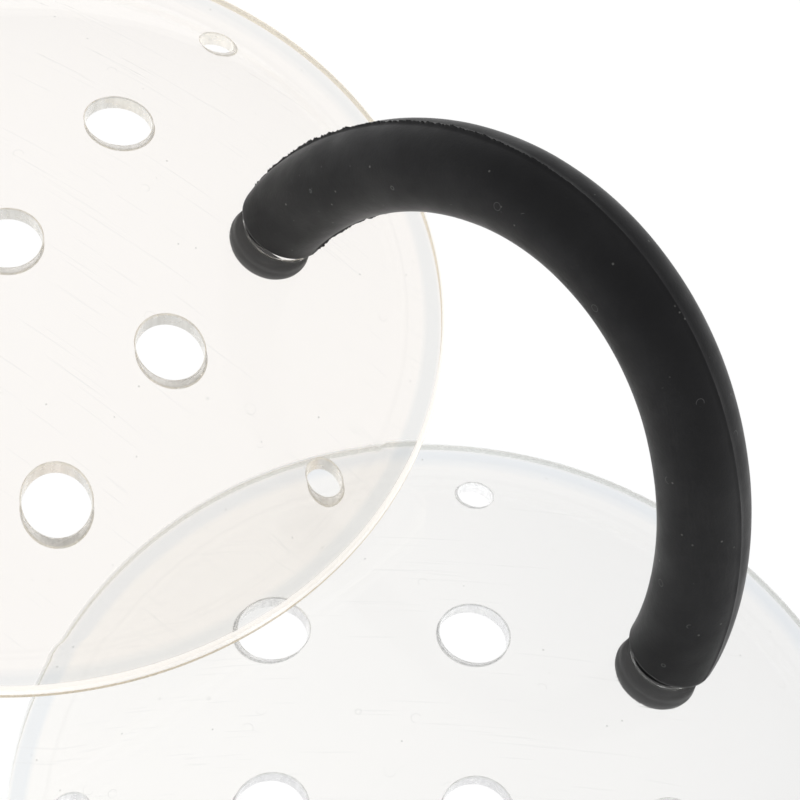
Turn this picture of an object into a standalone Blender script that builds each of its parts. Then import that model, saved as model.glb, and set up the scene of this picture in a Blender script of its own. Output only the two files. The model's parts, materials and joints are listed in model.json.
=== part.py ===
"""Two clear vented eye shields joined by an arched rubber nose bridge.

Metres, +Z up.  The lower shield lies rim down on the table (z = 0) with its axis along Z, the
upper shield leans on its dome, and the bridge snaps into one corner vent of each.  The origin
is the middle of the pair's footprint on the table.
"""
import math

import bmesh
import bpy
from mathutils import Matrix, Vector

# Shields: a spherical dome on a narrow flat brim, moulded in one piece
SHIELD_RADIUS = 0.0325
BRIM_WIDTH = 0.0029
SHELL_THICKNESS = 0.0014
DOME_RISE = 0.0080
EDGE_ROUND = 0.0004

# Vents: nine on a square grid, and four small strap holes close to the brim, which on the
# lower shield sit a little off the grid
VENT_RADIUS = 0.0025
VENT_PITCH = 0.0142
STRAP_HOLE_RADIUS = 0.0013
STRAP_HOLE_INSET = 0.0018
LOWER_STRAP_TURN = math.radians(-1.8)

# Nose bridge: a round rubber arch with a plug on each end.  The curve's sizes are for plugs
# ARCH_SPAN apart, and it keeps its shape when they stand nearer or farther
BRIDGE_RADIUS = 0.0033
ARCH_SPAN = 0.0425773
ARCH_FOOT = 0.0071
ARCH_SPREAD = 0.0135
ARCH_RISE = 0.0367
ARCH_LEAN = math.radians(8.5)
BUTTON_CATCH = 0.0006
BUTTON_EDGE = 0.0017
BUTTON_CROWN = 0.0006

# How the shields lie: the upper one laps over the lower one and rests on its dome
LAP = 0.0122
LAP_DIRECTION = math.radians(130.6)
UPPER_TWIST = math.radians(-32.1)

CLEARANCE = 0.0003

# Fineness of the faceted solids
TURN_STEPS = 48
DOME_STEPS = 7
ROUND_STEPS = 2
VENT_SIDES = 16
STRAP_HOLE_SIDES = 12
ARCH_STEPS = 30
ARCH_BEVEL = 3
PLUG_STEPS = 16
PLUG_OVERLAP = 0.001
MERGE_DISTANCE = 0.00002

DOME_BASE = SHIELD_RADIUS - BRIM_WIDTH
DOME_SPHERE = (DOME_BASE ** 2 + DOME_RISE ** 2) / (2 * DOME_RISE)
SPHERE_HEIGHT = SHELL_THICKNESS + DOME_RISE - DOME_SPHERE
STRAP_HOLE_REACH = DOME_BASE - STRAP_HOLE_INSET


def clear_scene():
    """Remove every object the file starts with."""
    for item in list(bpy.data.objects):
        bpy.data.objects.remove(item, do_unlink=True)


def new_collection(name):
    """A collection of that name, linked to the scene."""
    collection = bpy.data.collections.new(name)
    bpy.context.scene.collection.children.link(collection)
    return collection


def new_material(name, colour, roughness, transmission=0.0):
    """A Principled material with one colour."""
    material = bpy.data.materials.new(name)
    material.use_nodes = True
    shader = material.node_tree.nodes["Principled BSDF"]
    shader.inputs["Base Color"].default_value = (*colour, 1.0)
    shader.inputs["Roughness"].default_value = roughness
    shader.inputs["Metallic"].default_value = 0.0
    shader.inputs["Transmission Weight"].default_value = transmission
    return material


def mesh_object(name, mesh, collection, material=None):
    """An object of that mesh in a collection."""
    item = bpy.data.objects.new(name, mesh)
    collection.objects.link(item)
    if material is not None:
        mesh.materials.append(material)
    return item


def turned_mesh(name, outline):
    """An edge chain in the XZ plane, ready for a Screw modifier about Z."""
    mesh = bpy.data.meshes.new(name)
    edges = [(index, index + 1) for index in range(len(outline) - 1)]
    mesh.from_pydata([(radius, 0.0, height) for radius, height in outline], edges, [])
    return mesh


def add_screw(item, steps):
    """Turn an outline once about Z and weld it where it meets itself."""
    screw = item.modifiers.new("turn", "SCREW")
    screw.axis = "Z"
    screw.steps = steps
    screw.render_steps = steps
    screw.use_merge_vertices = True
    screw.merge_threshold = MERGE_DISTANCE
    screw.use_smooth_shade = True


def add_boolean(item, other, operation):
    """An exact Boolean of item with other."""
    boolean = item.modifiers.new(operation.lower(), "BOOLEAN")
    boolean.operation = operation
    boolean.solver = "EXACT"
    boolean.object = other


def hide_helper(item):
    """Mark a cutter or a guide, which is not a piece."""
    item.hide_render = True
    item.display_type = "WIRE"


def arc(centre, radius, start, end, steps):
    """Points of an arc in the outline plane, angles from the +Z side towards +X."""
    angles = [start + (end - start) * step / steps for step in range(steps + 1)]
    return [(centre[0] + radius * math.sin(angle), centre[1] + radius * math.cos(angle))
            for angle in angles]


def shield_outline():
    """Half section of a shield: over the dome, round the brim and back under the dome."""
    inner_sphere = DOME_SPHERE - SHELL_THICKNESS
    centre = (0.0, SPHERE_HEIGHT)
    front_angle = math.asin(DOME_BASE / DOME_SPHERE)
    back_angle = math.acos(-SPHERE_HEIGHT / inner_sphere)
    edge = SHIELD_RADIUS - EDGE_ROUND
    quarter = math.pi / 2
    front = arc(centre, DOME_SPHERE, 0.0, front_angle, DOME_STEPS)
    upper_round = arc((edge, SHELL_THICKNESS - EDGE_ROUND), EDGE_ROUND, 0.0, quarter, ROUND_STEPS)
    lower_round = arc((edge, EDGE_ROUND), EDGE_ROUND, quarter, 2 * quarter, ROUND_STEPS)
    back = arc(centre, inner_sphere, back_angle, 0.0, DOME_STEPS)
    return front + upper_round + lower_round + back


def vent_places():
    """Centres of the nine vents, seen along the shield's axis."""
    rows = (-VENT_PITCH, 0.0, VENT_PITCH)
    return [(x, y) for y in rows for x in rows]


def strap_hole_places(turn):
    """Centres of the four strap holes, seen along the shield's axis, turned off the vent grid."""
    angles = [turn + step * math.pi / 2 for step in range(4)]
    return [(STRAP_HOLE_REACH * math.cos(angle), STRAP_HOLE_REACH * math.sin(angle))
            for angle in angles]


def add_drill(work, x, y, radius, sides):
    """One straight cutter along Z, longer than the shield is high."""
    depth = 4 * (DOME_RISE + SHELL_THICKNESS)
    bmesh.ops.create_cone(work, cap_ends=True, segments=sides, radius1=radius, radius2=radius,
                          depth=depth, matrix=Matrix.Translation((x, y, 0.0)))


def drill_mesh(strap_turn):
    """Every hole of a shield as one cutter."""
    work = bmesh.new()
    for x, y in vent_places():
        add_drill(work, x, y, VENT_RADIUS, VENT_SIDES)
    for x, y in strap_hole_places(strap_turn):
        add_drill(work, x, y, STRAP_HOLE_RADIUS, STRAP_HOLE_SIDES)
    mesh = bpy.data.meshes.new("hole_drills")
    work.to_mesh(mesh)
    work.free()
    return mesh


def front_height(radius):
    """Height of a shield's front face over its seating plane at a distance from its axis."""
    if radius >= DOME_BASE:
        return SHELL_THICKNESS
    return SPHERE_HEIGHT + math.sqrt(DOME_SPHERE ** 2 - radius ** 2)


def upper_pose(lean):
    """Place of the upper shield when it leans that far, its far edge on the table."""
    spacing = 2 * SHIELD_RADIUS - LAP
    away = Vector((math.cos(LAP_DIRECTION), math.sin(LAP_DIRECTION), 0.0))
    centre = away * spacing
    centre.z = SHIELD_RADIUS * math.sin(lean)
    hinge_line = Vector((0.0, 0.0, 1.0)).cross(away)
    turn = Matrix.Rotation(lean, 4, hinge_line) @ Matrix.Rotation(UPPER_TWIST, 4, "Z")
    return Matrix.Translation(centre) @ turn


def least_gap(pose):
    """Least height of the upper shield's brim over the lower shield."""
    gaps = []
    for ring in (DOME_BASE, SHIELD_RADIUS):
        for step in range(4 * TURN_STEPS):
            angle = math.tau * step / (4 * TURN_STEPS)
            point = pose @ Vector((ring * math.cos(angle), ring * math.sin(angle), 0.0))
            reach = math.hypot(point.x, point.y)
            if reach < SHIELD_RADIUS:
                gaps.append(point.z - front_height(reach))
    return min(gaps)


def resting_pose():
    """Place of the upper shield when its brim just clears the lower shield's dome."""
    low, high = 0.0, math.radians(40)
    for _ in range(40):
        middle = (low + high) / 2
        if least_gap(upper_pose(middle)) < CLEARANCE:
            low = middle
        else:
            high = middle
    return upper_pose(high)


def rim_points(pose):
    """Corners of a shield's brim, on its seating face and on its front face."""
    angles = [math.tau * step / TURN_STEPS for step in range(TURN_STEPS)]
    return [pose @ Vector((SHIELD_RADIUS * math.cos(angle), SHIELD_RADIUS * math.sin(angle), z))
            for angle in angles for z in (EDGE_ROUND, SHELL_THICKNESS - EDGE_ROUND)]


def footprint_middle(poses):
    """Middle of the footprint of all the shields, on the table."""
    points = [point for pose in poses for point in rim_points(pose)]
    spans = [[point[axis] for point in points] for axis in (0, 1)]
    x, y = [(min(span) + max(span)) / 2 for span in spans]
    return Vector((x, y, 0.0))


def plug_frame(pose):
    """The sphere centre of a shield's dome and the outward direction at its plug vent."""
    centre = Vector((0.0, 0.0, SPHERE_HEIGHT))
    middle_sphere = DOME_SPHERE - SHELL_THICKNESS / 2
    corner = Vector((VENT_PITCH, VENT_PITCH, 0.0))
    corner.z = math.sqrt(middle_sphere ** 2 - corner.length ** 2)
    return pose @ centre, (pose.to_3x3() @ corner).normalized()


def swivel_point(pose):
    """Where a plug's axis crosses the middle of the shell."""
    centre, outward = plug_frame(pose)
    return centre + outward * (DOME_SPHERE - SHELL_THICKNESS / 2)


def arch_points(lower, upper):
    """Centre line of the arch: a smooth curve from one plug's axis to the other's."""
    ends = []
    for pose in (upper, lower):
        centre, outward = plug_frame(pose)
        ends.append((centre + outward * (DOME_SPHERE + CLEARANCE), outward))
    (start, start_axis), (finish, finish_axis) = ends
    chord = (finish - start).normalized()
    scale = (finish - start).length / ARCH_SPAN
    rise = start_axis + finish_axis
    rise = (rise - chord * rise.dot(chord)).normalized()
    lean = Matrix.Rotation(ARCH_LEAN, 3, chord)
    foot, spread = ARCH_FOOT * scale, ARCH_SPREAD * scale
    crown = (start + finish) / 2 + lean @ rise * (ARCH_RISE * scale)
    guides = [start, start + start_axis * foot, crown - chord * spread,
              crown + chord * spread, finish + finish_axis * foot, finish]
    return [bezier(guides, step / ARCH_STEPS) for step in range(ARCH_STEPS + 1)]


def bezier(guides, share):
    """Point of a Bezier curve by repeated interpolation."""
    points = list(guides)
    while len(points) > 1:
        points = [one.lerp(two, share) for one, two in zip(points, points[1:])]
    return points[0]


def tube_object(name, points, radius, collection):
    """A round tube along points, as one closed mesh."""
    curve = bpy.data.curves.new(name, "CURVE")
    curve.dimensions = "3D"
    curve.bevel_depth = radius
    curve.bevel_resolution = ARCH_BEVEL
    curve.use_fill_caps = True
    spline = curve.splines.new("POLY")
    spline.points.add(len(points) - 1)
    for vertex, point in zip(spline.points, points):
        vertex.co = (*point, 1.0)
    path = bpy.data.objects.new(name + "_path", curve)
    collection.objects.link(path)
    bpy.context.view_layer.update()
    graph = bpy.context.evaluated_depsgraph_get()
    mesh = bpy.data.meshes.new_from_object(path.evaluated_get(graph))
    work = bmesh.new()
    work.from_mesh(mesh)
    bmesh.ops.remove_doubles(work, verts=work.verts, dist=MERGE_DISTANCE)
    bmesh.ops.recalc_face_normals(work, faces=work.faces)
    work.to_mesh(mesh)
    work.free()
    place = path.matrix_world.copy()
    bpy.data.objects.remove(path, do_unlink=True)
    tube = mesh_object(name, mesh, collection)
    tube.matrix_world = place
    return tube


def sphere_sag(sphere, radius):
    """How far a sphere falls away from its tangent plane at that radius."""
    return sphere - math.sqrt(sphere ** 2 - radius ** 2)


def plug_outline():
    """Half section of a plug along its axis, from inside the arch's end to the button's crown."""
    slope = math.asin(math.hypot(VENT_PITCH, VENT_PITCH) / (DOME_SPHERE - SHELL_THICKNESS / 2))
    skew = SHELL_THICKNESS / 2 * math.tan(slope)
    neck = VENT_RADIUS * math.cos(slope) - skew - CLEARANCE
    button = VENT_RADIUS + BUTTON_CATCH
    seat = DOME_SPHERE - SHELL_THICKNESS - CLEARANCE
    catch = seat - sphere_sag(seat, button)
    crown = catch - BUTTON_EDGE
    top = DOME_SPHERE + CLEARANCE + PLUG_OVERLAP
    shoulder = button - BUTTON_CROWN
    return [(0.0, top), (neck, top), (neck, catch), (button, catch), (button, crown),
            (shoulder, crown - BUTTON_CROWN), (0.0, crown - BUTTON_CROWN)]


def axis_matrix(origin, direction):
    """A frame at origin with its Z along direction."""
    return Matrix.Translation(origin) @ direction.to_track_quat("Z", "X").to_matrix().to_4x4()


def build_shield(name, pose, strap_turn, parts, cutters, material):
    """One shield, parented to an empty on its plug's axis."""
    pivot = bpy.data.objects.new(name + "_swivel", None)
    parts.objects.link(pivot)
    pivot.location = swivel_point(pose)
    shield = mesh_object(name, turned_mesh(name, shield_outline()), parts, material)
    shield.parent = pivot
    shield.matrix_local = Matrix.Translation(-pivot.location) @ pose
    add_screw(shield, TURN_STEPS)
    drills = mesh_object(name + "_drills", drill_mesh(strap_turn), cutters)
    drills.parent = shield
    hide_helper(drills)
    add_boolean(shield, drills, "DIFFERENCE")
    return shield


def build_bridge(lower, upper, parts, helpers, material):
    """The rubber arch with a snap-in plug on each end, one moulded piece."""
    bridge = tube_object("nose_bridge", arch_points(lower, upper), BRIDGE_RADIUS, parts)
    bridge.data.materials.append(material)
    for name, pose in (("lower_plug", lower), ("upper_plug", upper)):
        centre, outward = plug_frame(pose)
        plug = mesh_object(name, turned_mesh(name, plug_outline()), helpers)
        plug.matrix_world = axis_matrix(centre, outward)
        add_screw(plug, PLUG_STEPS)
        hide_helper(plug)
        add_boolean(bridge, plug, "UNION")
    return bridge


def main():
    """Build the pair of shields and the bridge between them."""
    clear_scene()
    parts = new_collection("bridged_eye_shields")
    helpers = new_collection("cutters_and_guides")
    clear_plastic = new_material("clear_plastic", (0.93, 0.92, 0.90), 0.05, 1.0)
    black_rubber = new_material("black_rubber", (0.022, 0.022, 0.024), 0.6)
    upper_on_lower = resting_pose()
    middle = footprint_middle((Matrix.Identity(4), upper_on_lower))
    lower = Matrix.Translation(-middle)
    upper = lower @ upper_on_lower
    build_shield("lower_shield", lower, LOWER_STRAP_TURN, parts, helpers, clear_plastic)
    build_shield("upper_shield", upper, 0.0, parts, helpers, clear_plastic)
    build_bridge(lower, upper, parts, helpers, black_rubber)


main()
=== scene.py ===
"""Looks of two clear vented eye shields joined by an arched rubber nose bridge.

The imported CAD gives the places.  Each CAD node is replaced by a finer mesh of the same size:
the shields with smooth domes, rolled edges and clean vents, the bridge with its moulding flash.
"""
import json
import math

import bpy
from mathutils import Matrix, Vector, noise
from mathutils.geometry import delaunay_2d_cdt

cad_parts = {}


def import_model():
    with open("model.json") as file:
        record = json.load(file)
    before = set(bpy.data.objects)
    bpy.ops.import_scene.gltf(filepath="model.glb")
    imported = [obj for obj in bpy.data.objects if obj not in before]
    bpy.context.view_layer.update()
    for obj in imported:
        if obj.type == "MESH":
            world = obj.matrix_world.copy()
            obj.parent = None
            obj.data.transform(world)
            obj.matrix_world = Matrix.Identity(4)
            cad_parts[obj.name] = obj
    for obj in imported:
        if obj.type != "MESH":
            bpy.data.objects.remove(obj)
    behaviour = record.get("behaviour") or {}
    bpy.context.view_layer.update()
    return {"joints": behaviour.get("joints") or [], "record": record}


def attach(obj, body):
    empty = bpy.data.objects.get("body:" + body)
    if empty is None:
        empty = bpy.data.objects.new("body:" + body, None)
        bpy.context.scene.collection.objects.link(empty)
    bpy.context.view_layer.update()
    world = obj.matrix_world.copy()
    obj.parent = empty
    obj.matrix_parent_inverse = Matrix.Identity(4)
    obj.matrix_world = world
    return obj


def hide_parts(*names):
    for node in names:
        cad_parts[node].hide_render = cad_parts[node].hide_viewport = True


MM = 0.001

# Shields, as in the CAD
SHIELD_RADIUS = 0.0325
BRIM_WIDTH = 0.0029
SHELL_THICKNESS = 0.0014
DOME_RISE = 0.0080
VENT_RADIUS = 0.0025
VENT_PITCH = 0.0142
STRAP_HOLE_RADIUS = 0.0013
STRAP_HOLE_INSET = 0.0018
STRAP_TURN = {"lower": math.radians(-1.8), "upper": 0.0}
CLEARANCE = 0.0003
DOME_BASE = SHIELD_RADIUS - BRIM_WIDTH
DOME_SPHERE = (DOME_BASE ** 2 + DOME_RISE ** 2) / (2 * DOME_RISE)
SPHERE_HEIGHT = SHELL_THICKNESS + DOME_RISE - DOME_SPHERE
INNER_SPHERE = DOME_SPHERE - SHELL_THICKNESS

# Bridge, as in the CAD
BRIDGE_RADIUS = 0.0033
ARCH_FOOT = 0.0071
ARCH_SPREAD = 0.0135
ARCH_RISE = 0.0367
ARCH_LEAN = math.radians(8.5)
NECK_RADIUS = 0.0020
BUTTON_RADIUS = 0.0031

# Numbers of the rim's and the vents' materials among a shield's materials; both glow with painted
# light
RIM_GLOW_SLOT = 1
VENT_GLOW_SLOT = 2

# Edges and creases of the shields, and fineness of their meshes
RIM_ROUND = 0.00028
HOLE_LIP = 0.00012
CREASE_BLEND = 0.00030
RIM_SEGMENTS = 288
VENT_SEGMENTS = 56
STRAP_SEGMENTS = 32
LIP_STEPS = 3
DOME_PITCH = 0.0011
CREASE_PITCH = 0.00014
CREASE_ZONE = (DOME_BASE - 0.0009, DOME_BASE + 0.0008)
HOLE_MARGIN = 0.00035

# Small lengths for the shields' sums: on the axis, a step along a slope, and the same point
ON_AXIS = 1e-7
SLOPE_STEP = 2e-6
SAME_POINT = 1e-8

# Rounded ends and soft buttons of the bridge, and fineness of its mesh
END_ROUND = 0.00040
BUTTON_DROP = 0.00009
END_STEPS = 4
AROUND = 64
ROW_PITCH = 0.00009
CURVE_STEPS = 1200
POLE_RISE = 0.00002

# Flash along the two parting lines: its height, and where it starts and fades along the arch
FIN_HALF_WIDTH = 0.00010
FIN_LEAST = 0.00003
FINS = (
    {"tall": 0.00015, "starts": (0.005, 0.009), "fades": (0.34, 0.52)},
    {"tall": 0.00011, "starts": (0.020, 0.026), "fades": (0.26, 0.36)},
)
SKIN_WAVE = 0.000018
SKIN_WAVE_SIZE = 4 * MM

# Camera: a long lens from the photograph's angle
CAMERA_AIM = Vector((0.01265, 0.0164, 0.0))
CAMERA_DISTANCE = 0.30124
CAMERA_ELEVATION = math.radians(61.6)
CAMERA_HEADING = math.radians(75.31)
CAMERA_ROLL = math.radians(-17.305)
CAMERA_LENS = 180.0
CAMERA_SENSOR = 36.0
CAMERA_RANGE = (0.01, 20.0)

# Floor, surroundings and lamps: name, place, size and power of each lamp
FLOOR_GLOW = 1.01
FLOOR_HALF = 4.0
FLOOR_DEPTH = 0.045
SKY_STOPS = ((0.0, (0.60, 0.60, 0.61, 1.0)), (0.75, (0.42, 0.42, 0.42, 1.0)))
SKY_STRENGTH = 0.9
LAMP_AIM = Vector((0.0, 0.0, 0.01))
LAMPS = (
    ("key", (-0.5, -0.2, 0.9), 0.7, 1.1),
    ("fill", (0.7, 0.5, 0.6), 0.8, 2.4),
)

# Tints of the two shields, which have aged differently: the upper is warm, the lower cool. The
# shade band, shaded edge and shade lines are painted shade, and the rim's and cuts' colours also
# glow as painted light
SHIELD_LOOKS = {
    "upper": {
        "plastic": {"clear": (1.0, 0.975, 0.955), "deep": (0.970, 0.970, 0.965),
                    "shade_band": (0.905, 0.905, 0.905), "shaded_edge": (0.95, 0.91, 0.86)},
        "rim": {"light": (0.99, 0.96, 0.92), "shade_line": (0.52, 0.46, 0.36),
                "faint_shade_line": (0.80, 0.76, 0.68)},
        "cut": {"light": (0.93, 0.92, 0.89), "dark": (0.80, 0.79, 0.75)},
        "depth": {"absorb": (0.96, 0.90, 0.76), "density": 40.0},
    },
    "lower": {
        "plastic": {"clear": (0.998, 0.985, 0.962), "deep": (0.880, 0.890, 0.910),
                    "shade_band": (0.900, 0.915, 0.925), "shaded_edge": (0.93, 0.93, 0.93)},
        "rim": {"light": (0.95, 0.96, 0.97), "shade_line": (0.60, 0.59, 0.53),
                "faint_shade_line": (0.79, 0.79, 0.77)},
        "cut": {"light": (0.95, 0.95, 0.96), "dark": (0.84, 0.84, 0.85)},
        "depth": {"absorb": (0.92, 0.93, 0.88), "density": 40.0},
    },
}

# Outer stretch of a shield that is tinted and painted with shade lines and a shade band, and the
# plastic's gloss and faint painted glow
PLASTIC_IOR = 1.49
TINTED_AND_SHADED_STRETCH = 0.004
FOOT_SHADE_LINE = 0.97
FAINT_GLOSS = (0.28, 0.28, 0.28)
HAZE_GLOW = 0.016
CUT_GLOW = 0.22
RIM_GLOW = 0.46


# ---------------------------------------------------------------- shield mesh

def blended_max(one, two, width):
    """The larger of two numbers, with a soft change from one to the other."""
    share = max(width - abs(one - two), 0.0) / width
    return max(one, two) + share * share * width / 4


def dome_height(sphere, radius):
    """Height of a sphere about the shield's dome centre at a distance from the axis."""
    return SPHERE_HEIGHT + math.sqrt(max(sphere ** 2 - radius ** 2, 0.0))


def front_height(radius):
    """Height of the front face: the dome, its soft foot and the brim."""
    return blended_max(dome_height(DOME_SPHERE, radius), SHELL_THICKNESS, CREASE_BLEND)


def back_height(radius):
    """Height of the back face: the hollow, its soft edge and the seat."""
    return blended_max(dome_height(INNER_SPHERE, radius), 0.0, CREASE_BLEND)


def face_normal(height, x, y):
    """Upward normal of a height function of the distance from the axis."""
    radius = math.hypot(x, y)
    if radius < ON_AXIS:
        return Vector((0.0, 0.0, 1.0))
    slope = (height(radius + SLOPE_STEP) - height(radius - SLOPE_STEP)) / (2 * SLOPE_STEP)
    return Vector((-slope * x / radius, -slope * y / radius, 1.0)).normalized()


def hole_list(strap_turn):
    """Centre, radius and segments of every hole in a shield."""
    rows = (-VENT_PITCH, 0.0, VENT_PITCH)
    holes = [(x, y, VENT_RADIUS, VENT_SEGMENTS) for y in rows for x in rows]
    reach = DOME_BASE - STRAP_HOLE_INSET
    for step in range(4):
        angle = strap_turn + step * math.pi / 2
        holes.append((reach * math.cos(angle), reach * math.sin(angle),
                      STRAP_HOLE_RADIUS, STRAP_SEGMENTS))
    return holes


def ring_radii():
    """Radii of the rings of vertices across a shield, close together at the dome's foot."""
    radii = []
    radius = DOME_PITCH
    while radius < CREASE_ZONE[0]:
        radii.append(radius)
        radius += DOME_PITCH
    radius = CREASE_ZONE[0]
    while radius < CREASE_ZONE[1]:
        radii.append(radius)
        radius += CREASE_PITCH
    radius = CREASE_ZONE[1] + DOME_PITCH / 2
    while radius < SHIELD_RADIUS - RIM_ROUND - DOME_PITCH / 3:
        radii.append(radius)
        radius += DOME_PITCH / 2
    return radii


def clear_of_holes(x, y, holes):
    """True if a point is not in a hole or right beside one."""
    return all(math.hypot(x - cx, y - cy) > radius + HOLE_LIP + HOLE_MARGIN
               for cx, cy, radius, _ in holes)


def flat_layout(holes):
    """The shield seen along its axis: points, triangles, and the loop round each edge."""
    points = []
    edges = []
    loops = []

    def add_loop(cx, cy, radius, segments):
        first = len(points)
        for step in range(segments):
            angle = math.tau * step / segments
            points.append(Vector((cx + radius * math.cos(angle), cy + radius * math.sin(angle))))
        loop = [first + step for step in range(segments)]
        edges.extend((loop[step - 1], loop[step]) for step in range(segments))
        loops.append(loop)

    add_loop(0.0, 0.0, SHIELD_RADIUS - RIM_ROUND, RIM_SEGMENTS)
    for cx, cy, radius, segments in holes:
        add_loop(cx, cy, radius + HOLE_LIP, segments)
    for index, radius in enumerate(ring_radii()):
        close = CREASE_ZONE[0] <= radius
        count = RIM_SEGMENTS if close else max(8, round(math.tau * radius / DOME_PITCH))
        for step in range(count):
            angle = math.tau * (step + 0.5 * (index % 2)) / count
            x, y = radius * math.cos(angle), radius * math.sin(angle)
            if clear_of_holes(x, y, holes):
                points.append(Vector((x, y)))
    made, _, faces, origins, _, _ = delaunay_2d_cdt(points, edges, [], 0, SAME_POINT)
    place = {source: index for index, sources in enumerate(origins) for source in sources}
    solid = []
    for face in faces:
        middle = sum((made[index] for index in face), Vector((0.0, 0.0))) / len(face)
        inside = any(math.hypot(middle.x - cx, middle.y - cy) < radius + 0.5 * HOLE_LIP
                     for cx, cy, radius, _ in holes)
        if not inside:
            solid.append(list(face))
    return made, solid, [[place[index] for index in loop] for loop in loops]


class Surface:
    """Vertices with their normals, faces, and the ranges of faces that have another finish."""

    def __init__(self):
        self.points = []
        self.normals = []
        self.faces = []
        self.finish = []

    def add(self, point, normal):
        self.points.append(tuple(point))
        self.normals.append(tuple(normal))
        return len(self.points) - 1

    def strip(self, one, two):
        """Quads between two closed rows of the same length."""
        for step in range(len(one)):
            self.faces.append((one[step - 1], one[step], two[step], two[step - 1]))

    def turn(self, pose):
        """Carry every vertex and normal into another frame."""
        rotation = pose.to_3x3()
        self.points = [tuple(pose @ Vector(point)) for point in self.points]
        self.normals = [tuple(rotation @ Vector(normal)) for normal in self.normals]

    def object(self, name, materials, own_normals=True):
        """The mesh as an object.  Each entry of finish gives some of its faces a material."""
        mesh = bpy.data.meshes.new(name)
        mesh.from_pydata(self.points, [], self.faces)
        mesh.shade_smooth()
        if own_normals:
            mesh.normals_split_custom_set_from_vertices(self.normals)
        for material in materials:
            mesh.materials.append(material)
        for first, last, index in self.finish:
            for face in mesh.polygons[first:last]:
                face.material_index = index
        item = bpy.data.objects.new(name, mesh)
        bpy.context.scene.collection.objects.link(item)
        return item


def edge_rows(surface, made, loop, centre, radius, sign, rounding, back_index):
    """The wall along one edge of the shield, with rounded lips, joining front to back."""
    rows = [list(loop)]
    cx, cy = centre
    quarter = math.pi / 2

    def row(angle, back):
        indices = []
        for index in loop:
            away = (made[index] - Vector((cx, cy))).normalized()
            reach = radius - sign * rounding * (1 - math.sin(angle))
            x, y = cx + away.x * reach, cy + away.y * reach
            drop = rounding * (1 - math.cos(angle))
            height = back_height if back else front_height
            up = face_normal(height, x, y) * (-1 if back else 1)
            z = height(math.hypot(x, y)) + (drop if back else -drop)
            out = Vector((away.x, away.y, 0.0)) * sign
            normal = (up * math.cos(angle) + out * math.sin(angle)).normalized()
            indices.append(surface.add((x, y, z), normal))
        return indices

    for step in range(1, LIP_STEPS + 1):
        rows.append(row(quarter * step / LIP_STEPS, False))
    for step in range(LIP_STEPS, 0, -1):
        rows.append(row(quarter * step / LIP_STEPS, True))
    rows.append([back_index[index] for index in loop])
    for one, two in zip(rows, rows[1:]):
        if sign > 0:
            surface.strip(two, one)
        else:
            surface.strip(one, two)


def shield_object(name, pose, strap_turn, materials):
    """One whole shield, built in its own frame and set in place."""
    holes = hole_list(strap_turn)
    made, triangles, loops = flat_layout(holes)
    surface = Surface()
    for point in made:
        x, y = point
        surface.add((x, y, front_height(math.hypot(x, y))), face_normal(front_height, x, y))
    back_index = {}
    for index, point in enumerate(made):
        x, y = point
        back_index[index] = surface.add((x, y, back_height(math.hypot(x, y))),
                                        -face_normal(back_height, x, y))
    for triangle in triangles:
        surface.faces.append(tuple(triangle))
        surface.faces.append(tuple(back_index[index] for index in reversed(triangle)))
    first = len(surface.faces)
    edge_rows(surface, made, loops[0], (0.0, 0.0), SHIELD_RADIUS, 1, RIM_ROUND, back_index)
    surface.finish.append((first, len(surface.faces), RIM_GLOW_SLOT))
    for (cx, cy, radius, _), loop in zip(holes, loops[1:]):
        first = len(surface.faces)
        edge_rows(surface, made, loop, (cx, cy), radius, -1, HOLE_LIP, back_index)
        plugged = min(cx, cy) == VENT_PITCH
        if not plugged:
            surface.finish.append((first, len(surface.faces), VENT_GLOW_SLOT))
    surface.turn(pose)
    return surface.object(name, materials)


# ---------------------------------------------------------------- places from the record

def joint_of(frame, body):
    """Point and axis of the joint that carries a body."""
    for joint in frame["joints"]:
        if joint["child"] == body:
            return Vector(joint["pos_m"]), Vector(joint["axis"]).normalized()
    raise ValueError(body)


def seat_axis(frame, mount):
    """Outward axis of a shield, from its seat mount."""
    for entry in frame["record"]["mounts"]:
        if entry["name"] == mount:
            return -Vector(entry["axis"]).normalized()
    raise ValueError(mount)


def shield_pose(frame, body):
    """Place of a shield at rest: its dome centre and its vent grid, from the record."""
    point, plug_axis = joint_of(frame, body)
    axis = seat_axis(frame, body + "_seat")
    sphere_centre = point - plug_axis * (DOME_SPHERE - SHELL_THICKNESS / 2)
    origin = sphere_centre - axis * SPHERE_HEIGHT
    corner = (plug_axis - axis * plug_axis.dot(axis)).normalized()
    x_axis = Matrix.Rotation(-math.pi / 4, 3, axis) @ corner
    y_axis = axis.cross(x_axis)
    turn = Matrix((x_axis, y_axis, axis)).transposed().to_4x4()
    return Matrix.Translation(origin) @ turn


def plug_end(frame, body):
    """Where the arch ends over a shield, and the plug's outward axis."""
    point, axis = joint_of(frame, body)
    return point + axis * (SHELL_THICKNESS / 2 + CLEARANCE), axis


# ---------------------------------------------------------------- bridge mesh

def bezier(guides, share):
    """Point of a Bezier curve by repeated interpolation."""
    points = list(guides)
    while len(points) > 1:
        points = [one.lerp(two, share) for one, two in zip(points, points[1:])]
    return points[0]


def arch_guides(frame):
    """Guide points of the arch's centre line, and the normal of its plane."""
    (start, start_axis), (finish, finish_axis) = plug_end(frame, "upper"), plug_end(frame, "lower")
    chord = (finish - start).normalized()
    rise = start_axis + finish_axis
    rise = (rise - chord * rise.dot(chord)).normalized()
    rise = Matrix.Rotation(ARCH_LEAN, 3, chord) @ rise
    crown = (start + finish) / 2 + rise * ARCH_RISE
    guides = [start, start + start_axis * ARCH_FOOT, crown - chord * ARCH_SPREAD,
              crown + chord * ARCH_SPREAD, finish + finish_axis * ARCH_FOOT, finish]
    return guides, chord.cross(rise)


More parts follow.
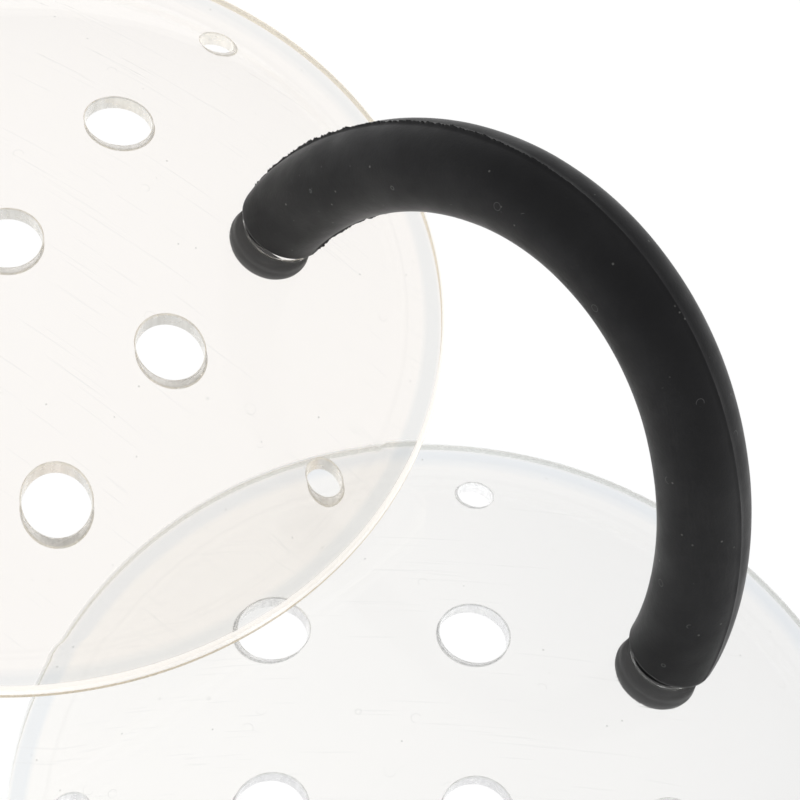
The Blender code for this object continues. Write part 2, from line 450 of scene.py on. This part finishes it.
def arch_stations(frame):
    """Evenly spaced points along the arch with tangents and outward directions."""
    guides, plane = arch_guides(frame)
    fine = [bezier(guides, step / CURVE_STEPS) for step in range(CURVE_STEPS + 1)]
    reach = [0.0]
    for one, two in zip(fine, fine[1:]):
        reach.append(reach[-1] + (two - one).length)
    count = round(reach[-1] / ROW_PITCH)
    stations = []
    index = 0
    for step in range(count + 1):
        goal = reach[-1] * step / count
        while index < len(reach) - 2 and reach[index + 1] < goal:
            index += 1
        share = (goal - reach[index]) / (reach[index + 1] - reach[index])
        point = fine[index].lerp(fine[index + 1], share)
        low, high = max(index - 1, 0), min(index + 2, len(fine) - 1)
        stations.append([goal, point, (fine[high] - fine[low]).normalized()])
    stations[0][2] = (guides[1] - guides[0]).normalized()
    stations[-1][2] = (guides[-1] - guides[-2]).normalized()
    for station in stations:
        tangent = station[2]
        side = (plane - tangent * plane.dot(tangent)).normalized()
        station.append(side.cross(tangent))
        station.append(side)
    return stations, reach[-1]


def plug_profile():
    """Radius and distance below the arch's end face, from the button's crown up to the face."""
    catch = SHELL_THICKNESS + 2 * CLEARANCE + BUTTON_DROP
    return [
        (0.00050, catch + 0.00235),
        (0.00120, catch + 0.00230),
        (0.00185, catch + 0.00216),
        (0.00240, catch + 0.00192),
        (0.00280, catch + 0.00160),
        (0.00302, catch + 0.00124),
        (BUTTON_RADIUS, catch + 0.00092),
        (BUTTON_RADIUS, catch + 0.00072),
        (0.00304, catch + 0.00058),
        (0.00302, catch + 0.00050),
        (0.00303, catch + 0.00036),
        (0.00300, catch + 0.00018),
        (0.00288, catch + 0.00004),
        (0.00262, catch),
        (0.00235, catch - 0.00001),
        (0.00205, catch - 0.00004),
        (NECK_RADIUS + 0.00004, catch - 0.00012),
        (NECK_RADIUS, catch - 0.00028),
        (NECK_RADIUS, catch - 0.00070),
        (NECK_RADIUS, 0.00030),
        (NECK_RADIUS + 0.00006, 0.00008),
        (NECK_RADIUS + 0.00024, 0.0),
        (BRIDGE_RADIUS - END_ROUND - 0.00060, 0.0),
        (BRIDGE_RADIUS - END_ROUND, 0.0),
    ]


def column_angles():
    """Angles of the columns round the tube, with close ones at the two parting lines."""
    angles = []
    fine = [-1.0, -0.6, -0.3, 0.0, 0.3, 0.6, 1.0]
    half = FIN_HALF_WIDTH / BRIDGE_RADIUS
    plain = AROUND // 2
    for side in (0.0, math.pi):
        angles.extend(side + half * share for share in fine)
        start, finish = side + half, side + math.pi - half
        angles.extend(start + (finish - start) * step / plain for step in range(1, plain))
    return angles


def fin_height(share, length, side):
    """Height of the ragged flash along a parting line, by share of the arch's length."""
    fin = FINS[side]
    strength = smooth_step(*fin["starts"], share) * (1 - smooth_step(*fin["fades"], share))
    along = share * length / MM
    slow = noise.noise(Vector((along * 0.8, side * 9.0, 3.4)))
    crumbs = noise.noise(Vector((along * 3.6, side * 7.0, 0.4)))
    grains = noise.noise(Vector((along * 7.4, side * 3.0, 5.1)))
    ragged = 0.85 + 0.3 * slow + 0.8 * crumbs + 0.9 * grains
    low = FIN_LEAST * (1 + 0.5 * slow)
    return low + strength * fin["tall"] * max(ragged, 0.25)


def smooth_step(low, high, value):
    """0 below low, 1 above high, smooth between."""
    share = min(max((value - low) / (high - low), 0.0), 1.0)
    return share * share * (3 - 2 * share)


def bridge_object(frame, material):
    """The whole bridge as one closed mesh: button, neck, arch, neck, button."""
    stations, length = arch_stations(frame)
    angles = column_angles()
    half = FIN_HALF_WIDTH / BRIDGE_RADIUS
    surface = Surface()
    rows = []

    def ring(point, out, side, radius, lift=None):
        row = []
        for angle in angles:
            reach = radius
            if lift is not None:
                reach += lift(angle)
            away = out * math.cos(angle) + side * math.sin(angle)
            row.append(surface.add(point + away * reach, away))
        rows.append(row)

    def plug_rows(station, direction, profile):
        _, point, _, out, side = station
        for radius, depth in profile:
            ring(point - direction * depth, out, side, radius)

    def end_rows(station, direction, steps):
        _, point, _, out, side = station
        for step in steps:
            angle = math.pi / 2 * step / END_STEPS
            radius = BRIDGE_RADIUS - END_ROUND * (1 - math.sin(angle))
            ring(point + direction * END_ROUND * (1 - math.cos(angle)), out, side, radius)

    first, last = stations[0], stations[-1]
    profile = plug_profile()
    plug_rows(first, first[2], profile)
    end_rows(first, first[2], range(1, END_STEPS))
    for goal, point, tangent, out, side in stations:
        if goal < END_ROUND or goal > length - END_ROUND:
            continue
        share = goal / length
        heights = (fin_height(share, length, 0), fin_height(share, length, 1))

        def lift(angle):
            place = point + out * math.cos(angle) * BRIDGE_RADIUS
            wave = SKIN_WAVE * noise.noise(place / SKIN_WAVE_SIZE)
            for index, centre in enumerate((0.0, math.pi)):
                offset = abs((angle - centre + math.pi) % math.tau - math.pi)
                if offset <= half * 1.001:
                    return wave + heights[index] * max(1 - offset / half, 0.0) ** 0.5
            return wave

        ring(point, out, side, BRIDGE_RADIUS, lift)
    end_rows(last, -last[2], range(END_STEPS - 1, 0, -1))
    plug_rows(last, -last[2], list(reversed(profile)))
    for one, two in zip(rows, rows[1:]):
        surface.strip(two, one)
    depth = profile[0][1] + POLE_RISE
    first_pole = surface.add(first[1] - first[2] * depth, -first[2])
    last_pole = surface.add(last[1] + last[2] * depth, last[2])
    for step in range(len(angles)):
        surface.faces.append((first_pole, rows[0][step], rows[0][step - 1]))
        surface.faces.append((last_pole, rows[-1][step - 1], rows[-1][step]))
    return surface.object("bridge_arch", [material], own_normals=False)


# ---------------------------------------------------------------- materials

class Nodes:
    """Short names for building one material's node tree."""

    def __init__(self, name, pose=None):
        self.material = bpy.data.materials.new(name)
        self.material.use_nodes = True
        self.tree = self.material.node_tree
        self.shader = self.tree.nodes["Principled BSDF"]
        self.output = self.tree.nodes["Material Output"]
        self.coordinates = self.node("ShaderNodeTexCoord").outputs["Object"]
        if pose is not None:
            back = pose.inverted()
            mapping = self.node("ShaderNodeMapping")
            mapping.inputs["Location"].default_value = back.translation
            mapping.inputs["Rotation"].default_value = back.to_euler()
            self.link(self.coordinates, mapping.inputs["Vector"])
            self.coordinates = mapping.outputs["Vector"]

    def node(self, kind, **settings):
        made = self.tree.nodes.new(kind)
        for key, value in settings.items():
            setattr(made, key, value)
        return made

    def link(self, source, target):
        self.tree.links.new(source, target)

    def set(self, **values):
        for key, value in values.items():
            self.shader.inputs[key.replace("_", " ")].default_value = value

    def scaled(self, scale, offset=(0.0, 0.0, 0.0)):
        mapping = self.node("ShaderNodeMapping")
        mapping.inputs["Scale"].default_value = scale
        mapping.inputs["Location"].default_value = offset
        self.link(self.coordinates, mapping.inputs["Vector"])
        return mapping.outputs["Vector"]

    def noise(self, size, detail=3.0, roughness=0.5, offset=(0.0, 0.0, 0.0)):
        """Noise with features of about that size, in metres."""
        made = self.node("ShaderNodeTexNoise")
        made.inputs["Scale"].default_value = 1.0
        made.inputs["Detail"].default_value = detail
        made.inputs["Roughness"].default_value = roughness
        size = size if isinstance(size, tuple) else (size,) * 3
        self.link(self.scaled(tuple(1 / length for length in size), offset), made.inputs["Vector"])
        return made.outputs["Fac"]

    def specks(self, size, share, offset=(0.0, 0.0, 0.0)):
        """1 in small round specks, one to a cell of that size, 0 elsewhere."""
        made = self.node("ShaderNodeTexVoronoi")
        made.inputs["Scale"].default_value = 1.0
        self.link(self.scaled((1 / size,) * 3, offset), made.inputs["Vector"])
        return self.ramp(made.outputs["Distance"], [(share * 0.6, 1.0), (share, 0.0)])

    def drift(self):
        """0 to 1 across the shield, with soft clouds, for a slow change of tint."""
        spread = self.scaled((0.5 / SHIELD_RADIUS, 0.1 / SHIELD_RADIUS, 0.0), (0.5, 0.0, 0.0))
        split = self.node("ShaderNodeSeparateXYZ")
        self.link(spread, split.inputs["Vector"])
        across = self.math("ADD", split.outputs["X"], split.outputs["Y"])
        clouds = self.math("MULTIPLY", self.noise(0.030, 2.0), 0.5)
        return self.math("SUBTRACT", self.math("ADD", across, clouds), 0.25)

    def rings(self, size, reach, width, offset=(0.0, 0.0, 0.0)):
        """1 on thin rings, one to a cell of that size, 0 elsewhere."""
        made = self.node("ShaderNodeTexVoronoi")
        made.inputs["Scale"].default_value = 1.0
        self.link(self.scaled((1 / size,) * 3, offset), made.inputs["Vector"])
        stops = [(reach - width, 0.0), (reach - width / 3, 1.0), (reach + width / 3, 1.0),
                 (reach + width, 0.0)]
        return self.ramp(made.outputs["Distance"], stops)

    def radius(self):
        """Distance from the shield's axis, in millimetres."""
        flat = self.node("ShaderNodeMapping")
        flat.inputs["Scale"].default_value = (1 / MM, 1 / MM, 0.0)
        self.link(self.coordinates, flat.inputs["Vector"])
        length = self.node("ShaderNodeVectorMath", operation="LENGTH")
        self.link(flat.outputs["Vector"], length.inputs[0])
        return length.outputs["Value"]

    def ramp(self, source, stops):
        """A colour ramp with (place, value or colour) stops."""
        made = self.node("ShaderNodeValToRGB")
        ramp = made.color_ramp
        while len(ramp.elements) < len(stops):
            ramp.elements.new(0.5)
        for element, (place, value) in zip(ramp.elements, stops):
            element.position = place
            colour = (value,) * 3 if isinstance(value, (int, float)) else value
            element.color = (*colour, 1.0)
        self.link(source, made.inputs["Fac"])
        return made.outputs["Color"]

    def math(self, operation, one, two):
        made = self.node("ShaderNodeMath", operation=operation)
        for index, value in enumerate((one, two)):
            if isinstance(value, (int, float)):
                made.inputs[index].default_value = value
            else:
                self.link(value, made.inputs[index])
        return made.outputs["Value"]

    def mix(self, factor, one, two, blend="MIX"):
        """One colour, or the other where the factor is 1."""
        made = self.node("ShaderNodeMix", data_type="RGBA", blend_type=blend)
        for key, value in (("Factor", factor), ("A", one), ("B", two)):
            socket = [item for item in made.inputs if item.name == key and item.enabled][0]
            if isinstance(value, tuple):
                socket.default_value = (*value, 1.0)
            elif isinstance(value, (int, float)):
                socket.default_value = value
            else:
                self.link(value, socket)
        return [item for item in made.outputs if item.enabled][0]

    def bump(self, height, distance, strength=1.0, normal=None):
        made = self.node("ShaderNodeBump")
        made.inputs["Distance"].default_value = distance
        made.inputs["Strength"].default_value = strength
        self.link(height, made.inputs["Height"])
        if normal is not None:
            self.link(normal, made.inputs["Normal"])
        return made.outputs["Normal"]


def brim_tint_and_painted_shade(nodes, clear, shade_band, shaded_edge):
    """Tint by distance from the axis, with painted shade: a darker line at the dome's foot, a grey
    band on the brim, a darker line at the edge.
    """
    start = (SHIELD_RADIUS - TINTED_AND_SHADED_STRETCH) / MM
    share = nodes.math("DIVIDE", nodes.math("SUBTRACT", nodes.radius(), start), TINTED_AND_SHADED_STRETCH / MM)
    # Painted shade: the crease at the dome's foot, a band across the brim and the outer edge are
    # darkened
    shade_line = tuple(value * FOOT_SHADE_LINE for value in clear)
    stops = [(0.20, clear), (0.27, shade_line), (0.31, clear), (0.56, clear), (0.66, shade_band),
             (0.86, shade_band), (0.93, clear), (0.97, clear), (0.99, shaded_edge)]
    return nodes.ramp(share, stops)


def plastic_material(name, pose, clear, deep, shade_band, shaded_edge, absorb, density):
    """Clear polished plastic: faint tints, painted shade at the brim, a faint painted glow,
    moulding ripples, scratches, bubbles and dust.
    """
    nodes = Nodes(name, pose)
    # Painted light: the clear plastic glows faintly in white all over
    nodes.set(IOR=PLASTIC_IOR, Transmission_Weight=0.965, Metallic=0.0, Emission_Strength=HAZE_GLOW)
    nodes.set(Specular_Tint=(*FAINT_GLOSS, 1.0))
    drift = nodes.ramp(nodes.drift(), [(0.0, 1.0), (1.0, deep)])
    # The brim's painted shade lines and band are multiplied into the tint here
    tint = nodes.mix(1.0, drift, brim_tint_and_painted_shade(nodes, clear, shade_band, shaded_edge), "MULTIPLY")
    strokes = nodes.noise((0.011, 0.00022, 0.0025), 2.0, 0.5, (3.0, 5.0, 1.0))
    scratches = nodes.ramp(strokes, [(0.67, 0.0), (0.71, 1.0)])
    tint = nodes.mix(nodes.math("MULTIPLY", scratches, 0.35), tint, (0.80, 0.80, 0.79))
    sparse = nodes.ramp(nodes.noise(0.004, 2.0, 0.6, (2.0, 9.0, 4.0)), [(0.46, 0.0), (0.52, 1.0)])
    dust = nodes.math("MULTIPLY", nodes.specks(0.0021, 0.050), sparse)
    tint = nodes.mix(nodes.math("MULTIPLY", dust, 0.55), tint, (0.34, 0.33, 0.31))
    broken = nodes.ramp(nodes.noise(0.0011, 1.0, 0.5, (6.0, 2.0, 8.0)), [(0.47, 0.0), (0.53, 1.0)])
    bubbles = nodes.math("MULTIPLY", nodes.rings(0.0052, 0.080, 0.010, (1.0, 4.0, 2.0)), broken)
    tint = nodes.mix(nodes.math("MULTIPLY", bubbles, 0.30), tint, (0.60, 0.60, 0.58))
    nodes.link(tint, nodes.shader.inputs["Base Color"])
    rough = nodes.ramp(nodes.noise(0.006, 4.0, 0.6), [(0.42, 0.010), (0.75, 0.06)])
    nodes.link(rough, nodes.shader.inputs["Roughness"])
    ripple = nodes.bump(nodes.noise(0.009, 1.0, 0.4), 0.00003)
    nodes.link(nodes.bump(scratches, 0.000003, 0.7, ripple), nodes.shader.inputs["Normal"])
    absorb_inside(nodes, absorb, density)
    return nodes.material


def cut_edge_material(name, pose, light, dark, absorb, density):
    """The walls of the vents: the same plastic, slightly frosted, with a faint painted glow."""
    nodes = Nodes(name, pose)
    # Painted light: the vent walls glow faintly in their own streaked colour
    nodes.set(IOR=PLASTIC_IOR, Transmission_Weight=0.25, Metallic=0.0, Emission_Strength=CUT_GLOW)
    streaks = nodes.noise((0.0005, 0.0005, 0.004), 3.0, 0.6)
    tint = nodes.ramp(streaks, [(0.35, dark), (0.65, light)])
    nodes.link(tint, nodes.shader.inputs["Base Color"])
    nodes.link(tint, nodes.shader.inputs["Emission Color"])
    nodes.link(nodes.ramp(nodes.noise(0.0008, 3.0), [(0.35, 0.16), (0.7, 0.34)]),
               nodes.shader.inputs["Roughness"])
    nodes.link(nodes.bump(streaks, 0.00002, 0.6), nodes.shader.inputs["Normal"])
    absorb_inside(nodes, absorb, density)
    return nodes.material


def rim_glow_and_shade_material(name, pose, light, shade_line, faint_shade_line, absorb, density):
    """The trimmed rim: plastic that glows with painted light, its lower edge darker with a painted
    shade line, darker on one side than the other.
    """
    nodes = Nodes(name, pose)
    # Painted light and shade: the whole rim glows in its own colour, and its lower edge is darker,
    # more on one side of the shield than the other
    nodes.set(IOR=PLASTIC_IOR, Transmission_Weight=0.12, Metallic=0.0, Emission_Strength=RIM_GLOW)
    split = nodes.node("ShaderNodeSeparateXYZ")
    spread = nodes.scaled((0.0, 0.5 / SHIELD_RADIUS, 1 / SHELL_THICKNESS), (0.0, 0.5, 0.0))
    nodes.link(spread, split.inputs["Vector"])
    nicks = nodes.noise((0.0004, 0.0004, 0.0004), 3.0, 0.6)
    height = nodes.math("ADD", split.outputs["Z"],
                        nodes.math("MULTIPLY", nodes.math("SUBTRACT", nicks, 0.5), 0.08))
    shaded_edge = nodes.ramp(split.outputs["Y"], [(0.35, shade_line), (0.85, faint_shade_line)])
    tint = nodes.mix(nodes.ramp(height, [(0.36, 0.0), (0.50, 1.0)]), shaded_edge, light)
    nodes.link(tint, nodes.shader.inputs["Base Color"])
    nodes.link(tint, nodes.shader.inputs["Emission Color"])
    nodes.link(nodes.ramp(nicks, [(0.35, 0.18), (0.7, 0.36)]), nodes.shader.inputs["Roughness"])
    nodes.link(nodes.bump(nicks, 0.00001, 0.4), nodes.shader.inputs["Normal"])
    absorb_inside(nodes, absorb, density)
    return nodes.material


def absorb_inside(nodes, colour, density):
    """Light loses colour on its way through the plastic, most along the shell."""
    volume = nodes.node("ShaderNodeVolumeAbsorption")
    volume.inputs["Color"].default_value = (*colour, 1.0)
    volume.inputs["Density"].default_value = density
    nodes.link(volume.outputs["Volume"], nodes.output.inputs["Volume"])


def rubber_material():
    """Matt black rubber: cloudy bloom, moulded grain, curled fibres and pale dust."""
    nodes = Nodes("black_rubber_skin")
    nodes.set(Metallic=0.0, IOR=1.5, Specular_IOR_Level=0.30, Sheen_Weight=0.32,
              Sheen_Roughness=0.22)
    cloud = nodes.ramp(nodes.noise(0.0045, 5.0, 0.6), [
        (0.30, (0.0075, 0.0075, 0.0085)), (0.55, (0.011, 0.011, 0.012)),
        (0.80, (0.017, 0.017, 0.018))])
    few = nodes.ramp(nodes.noise(0.0022, 2.0, 0.6, (3.0, 1.0, 7.0)), [(0.50, 0.0), (0.58, 1.0)])
    dust = nodes.math("MULTIPLY", nodes.specks(0.0011, 0.095), few)
    colour = nodes.mix(dust, cloud, (0.11, 0.11, 0.105))
    broken = nodes.ramp(nodes.noise(0.0009, 1.0, 0.5, (6.0, 2.0, 8.0)), [(0.50, 0.0), (0.54, 1.0)])
    fibres = nodes.math("MULTIPLY", nodes.rings(0.0034, 0.085, 0.010, (2.0, 7.0, 5.0)), broken)
    colour = nodes.mix(fibres, colour, (0.075, 0.075, 0.075))
    nodes.link(colour, nodes.shader.inputs["Base Color"])
    rough = nodes.ramp(nodes.noise(0.003, 4.0, 0.6, (1.0, 5.0, 2.0)), [(0.3, 0.44), (0.7, 0.58)])
    nodes.link(rough, nodes.shader.inputs["Roughness"])
    grain = nodes.bump(nodes.noise(0.00022, 3.0, 0.6), 0.000018, 0.7)
    swell = nodes.bump(nodes.noise(0.0016, 3.0, 0.5, (4.0, 4.0, 1.0)), 0.00003, 0.6, grain)
    nodes.link(swell, nodes.shader.inputs["Normal"])
    return nodes.material


# ---------------------------------------------------------------- stage, light and camera

def light_table():
    """A plain pale floor that glows softly, deep enough for a shield that swivels down."""
    mesh = bpy.data.meshes.new("pale_floor")
    corners = [(x * FLOOR_HALF, y * FLOOR_HALF, -FLOOR_DEPTH)
               for x, y in ((-1, -1), (1, -1), (1, 1), (-1, 1))]
    mesh.from_pydata(corners, [], [(0, 1, 2, 3)])
    floor = bpy.data.objects.new("pale_floor", mesh)
    bpy.context.scene.collection.objects.link(floor)
    material = bpy.data.materials.new("pale_floor")
    material.use_nodes = True
    shader = material.node_tree.nodes["Principled BSDF"]
    shader.inputs["Base Color"].default_value = (0.0, 0.0, 0.0, 1.0)
    shader.inputs["Specular IOR Level"].default_value = 0.0
    shader.inputs["Roughness"].default_value = 1.0
    shader.inputs["Emission Color"].default_value = (1.0, 1.0, 1.0, 1.0)
    shader.inputs["Emission Strength"].default_value = FLOOR_GLOW
    mesh.materials.append(material)


def surroundings():
    """Soft studio surroundings: bright at the horizon, dimmer overhead."""
    world = bpy.data.worlds.new("studio")
    bpy.context.scene.world = world
    world.use_nodes = True
    tree = world.node_tree
    background = tree.nodes["Background"]
    direction = tree.nodes.new("ShaderNodeTexCoord").outputs["Generated"]
    split = tree.nodes.new("ShaderNodeSeparateXYZ")
    tree.links.new(direction, split.inputs["Vector"])
    ramp = tree.nodes.new("ShaderNodeValToRGB")
    for element, (place, colour) in zip(ramp.color_ramp.elements, SKY_STOPS):
        element.position = place
        element.color = colour
    tree.links.new(split.outputs["Z"], ramp.inputs["Fac"])
    tree.links.new(ramp.outputs["Color"], background.inputs["Color"])
    background.inputs["Strength"].default_value = SKY_STRENGTH


def soft_light(name, place, size, power):
    """A large square lamp that faces the object."""
    lamp = bpy.data.lights.new(name, "AREA")
    lamp.shape = "SQUARE"
    lamp.size = size
    lamp.energy = power
    item = bpy.data.objects.new(name, lamp)
    bpy.context.scene.collection.objects.link(item)
    item.location = place
    item.visible_glossy = False
    item.visible_transmission = False
    item.rotation_mode = "QUATERNION"
    item.rotation_quaternion = (LAMP_AIM - Vector(place)).to_track_quat("-Z", "Y")


def photo_camera():
    """The camera at the photograph's angle."""
    level = Vector((math.cos(CAMERA_HEADING), math.sin(CAMERA_HEADING), 0.0))
    forward = level * math.cos(CAMERA_ELEVATION) - Vector((0.0, 0.0, math.sin(CAMERA_ELEVATION)))
    right = forward.cross(Vector((0.0, 0.0, 1.0))).normalized()
    up = right.cross(forward)
    roll = Matrix.Rotation(CAMERA_ROLL, 3, forward)
    right, up = roll @ right, roll @ up
    turn = Matrix((right, up, -forward)).transposed().to_4x4()
    data = bpy.data.cameras.new("camera")
    data.lens = CAMERA_LENS
    data.sensor_width = CAMERA_SENSOR
    data.clip_start, data.clip_end = CAMERA_RANGE
    camera = bpy.data.objects.new("camera", data)
    bpy.context.scene.collection.objects.link(camera)
    camera.matrix_world = Matrix.Translation(CAMERA_AIM - forward * CAMERA_DISTANCE) @ turn
    bpy.context.scene.camera = camera


def main():
    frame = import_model()
    bpy.context.scene.view_settings.view_transform = "Standard"
    bpy.context.scene.view_settings.look = "None"
    rubber = rubber_material()
    for body, look in SHIELD_LOOKS.items():
        pose = shield_pose(frame, body)
        clear = plastic_material("clear_plastic_" + body, pose, **look["plastic"], **look["depth"])
        rim = rim_glow_and_shade_material("rim_plastic_" + body, pose, **look["rim"], **look["depth"])
        cut = cut_edge_material("cut_plastic_" + body, pose, **look["cut"], **look["depth"])
        shield = shield_object(body + "_shield_shell", pose, STRAP_TURN[body], [clear, rim, cut])
        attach(shield, body)
        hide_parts(body + "_shield")
    bridge = bridge_object(frame, rubber)
    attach(bridge, "bridge")
    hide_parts("nose_bridge")
    light_table()
    surroundings()
    for lamp in LAMPS:
        soft_light(*lamp)
    photo_camera()


main()
